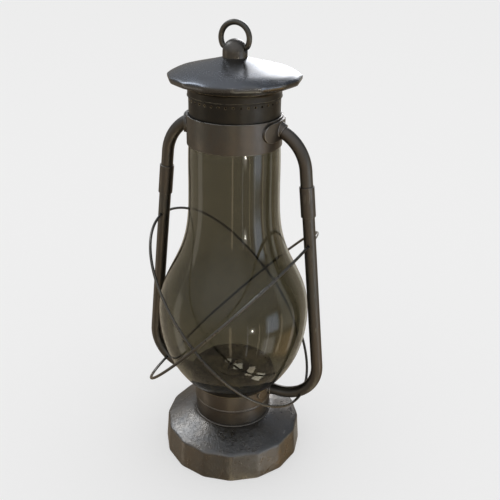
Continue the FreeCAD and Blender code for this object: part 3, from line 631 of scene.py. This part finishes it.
def smoked_glass():
    material, tree, shader = new_material("smoked_glass")
    shader.inputs["Base Color"].default_value = (0.232, 0.215, 0.162, 1.0)
    shader.inputs["Roughness"].default_value = 0.03
    shader.inputs["IOR"].default_value = 1.48
    shader.inputs["Transmission Weight"].default_value = 1.0
    return material


GLASS = smoked_glass()

# %% [markdown]
# ## Cotton and rubber
#
# The wick is a flat woven tape and the filler's washer is moulded rubber. Both are matt. The tape
# shows its cross threads as fine bands, and the rubber carries a little dust. Real threads would be
# thousands of faces on a piece that hardly shows, so a wave texture stands in for them.

# %% Cotton and rubber


WEAVE_SCALE = 1500.0
THREAD_BANDS = WEAVE_SCALE / 3


def cotton():
    material, tree, shader = new_material("wick_cotton")
    place = tree.nodes.new("ShaderNodeTexCoord").outputs["Object"]
    weave = tree.nodes.new("ShaderNodeTexWave")
    weave.inputs["Scale"].default_value = THREAD_BANDS
    weave.inputs["Distortion"].default_value = 1.0
    weave.bands_direction = "Z"
    tree.links.new(place, weave.inputs["Vector"])
    threads = maths(tree, "MULTIPLY", weave.outputs["Fac"], cloud(tree, place, WEAVE_SCALE, 2.0, 0.5))
    cloth = mix_colour(tree, threads, (0.58, 0.52, 0.40, 1.0), (0.80, 0.75, 0.64, 1.0))
    tree.links.new(cloth, shader.inputs["Base Color"])
    tree.links.new(bump(tree, threads, 0.6, 0.0002), shader.inputs["Normal"])
    shader.inputs["Roughness"].default_value = 0.9
    return material


def rubber():
    material, tree, shader = new_material("gasket_rubber")
    place = tree.nodes.new("ShaderNodeTexCoord").outputs["Object"]
    dust = band(tree, cloud(tree, place, 120.0), 0.4, 0.7)
    black = mix_colour(tree, dust, (0.022, 0.022, 0.022, 1.0), (0.07, 0.065, 0.06, 1.0))
    tree.links.new(black, shader.inputs["Base Color"])
    tree.links.new(mix_value(tree, dust, 0.5, 0.8), shader.inputs["Roughness"])
    return material


COTTON = cotton()
RUBBER = rubber()

# %% [markdown]
# ## Many-sided sheet metal
#
# The tank and the hood are pressed sheet with sixteen flat sides. Their tops start sixteen-sided at
# the rim and run out to a smooth round, as a press draws them. The design's own solids have flat
# facets up to the collar, so both are built again here. A stack of outlines is quick to draw, and a
# number for each outline says how round it is: 0 for flat sides, 1 for a circle.

# %% Sixteen-sided outline
SIDES = 16
STEPS_PER_SIDE = 12
CREASE_ANGLE = math.radians(32)      # sharper bends than this show as an edge
HALF_SIDE = math.pi / SIDES


def outline_radius(corner_radius, corner_round, roundness, angle):
    """Distance from the axis to the outline; corners lie at multiples of a side's angle."""
    from_corner = (angle + HALF_SIDE) % (2 * HALF_SIDE) - HALF_SIDE
    from_middle = HALF_SIDE - abs(from_corner)
    flat = corner_radius * math.cos(HALF_SIDE)
    straight = corner_radius * math.sin(HALF_SIDE) - corner_round * math.tan(HALF_SIDE)
    if math.tan(from_middle) * flat < straight:
        sided = flat / math.cos(from_middle)
    else:
        centre = corner_radius - corner_round / math.cos(HALF_SIDE)
        off = centre * math.sin(from_corner)
        sided = centre * math.cos(from_corner) + math.sqrt(corner_round ** 2 - off ** 2)
    return (1 - roundness) * sided + roundness * flat


def dent(place, scale, depth):
    """Depth of shallow dents at a place, never outwards."""
    wave = noise.noise(Vector(place) * scale)
    return depth * max(0.0, wave) ** 1.5


# %% [markdown]
# The profile runs up the outside, over the top and back down the inside, so each shell is closed
# and has the sheet's real thickness. A slope lifts the middle of each side, so the top stays one
# true cone out to its sixteen-sided rim. Shallow dents press the sheet in by less than half a
# millimetre: they are far too small to see as shape, but they bend the reflections.

# %% Shell from a profile


def sided_shell(name, profile, corner_round, dent_scale, dent_depth, body, replaced, material):
    """Closed shell from (corner radius, height, roundness, slope) points in millimetres."""
    count = SIDES * STEPS_PER_SIDE
    points = []
    for radius, height, roundness, slope in profile:
        for i in range(count):
            angle = 2 * math.pi * i / count
            corner = min(corner_round, 0.8 * radius)
            reach = outline_radius(radius, corner, roundness, angle)
            rise = height + slope * (radius - reach)
            place = (reach * math.cos(angle), reach * math.sin(angle), rise)
            press = dent(place, dent_scale, dent_depth)
            shrink = 1 - press / max(reach, 1.0)
            sunk = rise - press * roundness
            points.append((place[0] * shrink * MM, place[1] * shrink * MM, sunk * MM))
    rings = len(profile)
    faces = []
    for j in range(rings):
        here = j * count
        there = ((j + 1) % rings) * count
        for i in range(count):
            k = (i + 1) % count
            faces.append((here + i, here + k, there + k, there + i))
    mesh = bpy.data.meshes.new(name)
    mesh.from_pydata(points, [], faces)
    mesh.validate()
    mesh.shade_smooth()
    mesh.set_sharp_from_angle(angle=CREASE_ANGLE)
    mesh.materials.append(material)
    piece = bpy.data.objects.new(name, mesh)
    bpy.context.scene.collection.objects.link(piece)
    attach(piece, body)
    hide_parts(replaced)
    print(name, "points:", len(points), "size, mm:", [round(v / MM, 1) for v in piece.dimensions])
    return piece


# %% [markdown]
# **The oil tank.** Its sides lean in by two millimetres, and its top rises in a low cone to the
# burner collar. The rim between them is bent to a small radius, which catches the light.

# %% Oil tank
TANK_SLOPE = 0.455
TANK_PROFILE = [
    (65.35, 0.0, 0.0, 0.0), (65.8, 0.3, 0.0, 0.0), (65.93, 0.9, 0.0, 0.0), (65.2, 10.0, 0.0, 0.0),
    (64.5, 19.0, 0.0, 0.0), (64.05, 25.9, 0.0, 0.0), (63.9, 26.5, 0.0, 0.15), (63.5, 27.0, 0.0, 0.3),
    (62.9, 27.35, 0.0, TANK_SLOPE), (61.6, 27.95, 0.1, TANK_SLOPE), (59.0, 29.13, 0.4, TANK_SLOPE),
    (55.5, 30.7, 0.8, TANK_SLOPE), (51.0, 32.75, 1.0, TANK_SLOPE), (46.0, 35.0, 1.0, TANK_SLOPE),
    (41.0, 37.2, 1.0, TANK_SLOPE), (37.4, 38.6, 1.0, 0.3), (35.0, 39.05, 1.0, 0.0),
    (20.0, 39.05, 1.0, 0.0), (20.0, 38.2, 1.0, 0.0), (36.8, 37.7, 1.0, 0.2),
    (50.0, 32.2, 1.0, TANK_SLOPE), (58.5, 28.3, 0.4, TANK_SLOPE), (62.4, 26.5, 0.0, 0.3),
    (63.1, 25.7, 0.0, 0.0), (65.1, 0.9, 0.0, 0.0), (65.05, 0.0, 0.0, 0.0),
]
sided_shell(
    "oil_tank_shell", TANK_PROFILE, 13.0, 0.045, 0.45, "frame", "fuel_tank", TANK_METAL
)

# %% [markdown]
# ** The hood.** A domed lid with a turned-down brim. The brim is a shallow roll that meets the top in
# a crease, where edge wear shows one bright line of bare metal that is partly worn finish and partly a
# painted highlight of the light the crease catches. A lip under it holds the cove ring.

# %% Hood
HOOD_PROFILE = [
    (44.8, 354.8, 1.0, 0.0), (52.2, 354.8, 0.1, 0.0), (52.7, 355.1, 0.0, 0.0), (53.3, 356.1, 0.0, 0.0),
    (53.85, 357.2, 0.0, 0.0), (54.0, 358.2, 0.0, 0.0), (53.9, 359.35, 0.0, 0.0),
    (53.5, 359.6, 0.0, 0.4), (51.6, 360.5, 0.1, 0.5),
    (49.0, 361.8, 0.4, 0.5), (46.0, 363.1, 0.8, 0.45), (41.0, 364.6, 1.0, 0.32),
    (36.0, 365.85, 1.0, 0.24), (30.0, 367.3, 1.0, 0.23), (24.0, 368.7, 1.0, 0.23),
    (17.0, 370.5, 1.0, 0.25), (11.4, 372.05, 1.0, 0.2), (10.0, 372.35, 1.0, 0.0),
    (2.5, 372.35, 1.0, 0.0), (2.5, 371.5, 1.0, 0.0), (10.2, 371.45, 1.0, 0.0),
    (24.0, 367.8, 1.0, 0.23), (36.0, 364.95, 1.0, 0.24), (46.0, 362.2, 0.8, 0.45),
    (51.2, 359.8, 0.1, 0.3), (52.6, 358.8, 0.0, 0.0), (53.0, 357.6, 0.0, 0.0),
    (52.1, 355.8, 0.0, 0.0), (44.8, 355.7, 1.0, 0.0),
]
sided_shell(
    "hood_shell", HOOD_PROFILE, 12.0, 0.05, 0.4, "hood", "hood", HOOD_METAL
)

# %% [markdown]
# ## Finishes on the design's own pieces
#
# Every other piece keeps its shape from the design and takes the finish of its slot. Five pieces
# share a slot with cleaner metal but sit in smoke or heat, or are rubbed by hands, so they have
# finishes of their own. The chimney and cove ring are darker for soot and also for painted shade
# under the hood, and the flame cone and globe plate carry pale clouds that are painted reflections.

# %% Assign finishes to the design's pieces
FINISH = {
    "tank_metal": TANK_METAL,
    "frame_metal": FRAME_METAL,
    "hood_metal": HOOD_METAL,
    "wire_metal": WIRE_METAL,
    "burner_brass": BRASS,
    "glass": GLASS,
    "wick_cotton": COTTON,
    "gasket_rubber": RUBBER,
    "hidden_steel": STEEL,
}
OWN_FINISH = {
    "hood_knob": FRAME_METAL,
    # flame cone and globe plate: dark tarnish with pale clouds that are painted reflections
    "flame_cone": PLATE_TARNISH_AND_REFLECTION,
    "globe_plate": PLATE_TARNISH_AND_REFLECTION,
    # chimney and cove ring: soot, and painted shade from the hood above
    "chimney": SOOT_AND_SHADE_METAL,
    "cove_ring": SOOT_AND_SHADE_METAL,
}
for entry in frame["record"]["subparts"]:
    node = frame["nodes"][entry["node"]]
    node.data.materials.clear()
    node.data.materials.append(OWN_FINISH.get(entry["node"], FINISH[entry["material_slot"]]))
print("finished nodes:", len(frame["nodes"]))
